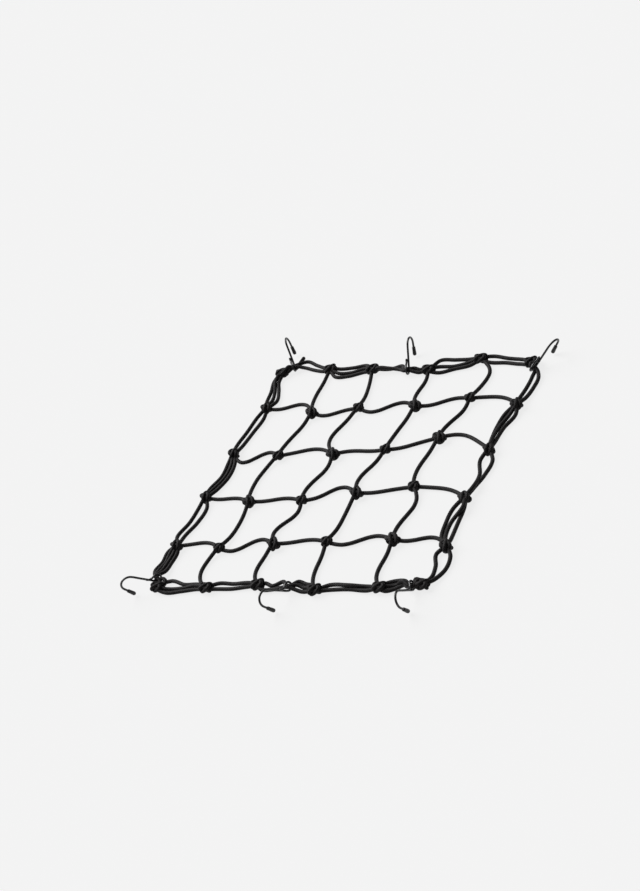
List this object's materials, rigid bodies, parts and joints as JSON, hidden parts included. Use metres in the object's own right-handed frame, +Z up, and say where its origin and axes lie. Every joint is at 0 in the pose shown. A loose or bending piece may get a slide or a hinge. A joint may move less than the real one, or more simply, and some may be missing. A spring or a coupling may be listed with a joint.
{
  "type": "luggage net",
  "caption": "Square elastic cargo net of black cord knotted into square meshes, with a doubled border and wire hooks with moulded tips standing on its edges.",
  "frame": {"origin": "middle of the underside of the whole outline, hooks included, on the plane the net lies on", "axes": "+X along the rows of knots, +Y along the columns, +Z up out of the net"},
  "size_m": [0.4378, 0.4351, 0.0321],
  "materials": {
    "elastic_cord": "braided textile sheath, matt",
    "hook_wire": "steel wire dipped in smooth black plastic",
    "tip_cap": "soft moulded plastic, satin"
  },
  "bodies": {
    "root": {"net": "elastic_cord", "hook_top_left": "hook_wire", "hook_top_middle": "hook_wire", "hook_top_right": "hook_wire", "hook_bottom_right": "hook_wire", "hook_bottom_middle": "hook_wire", "hook_bottom_left": "hook_wire", "cap_top_left": "tip_cap", "cap_top_middle": "tip_cap", "cap_top_right": "tip_cap", "cap_bottom_right": "tip_cap", "cap_bottom_middle": "tip_cap", "cap_bottom_left": "tip_cap"}
  },
  "joints": []
}
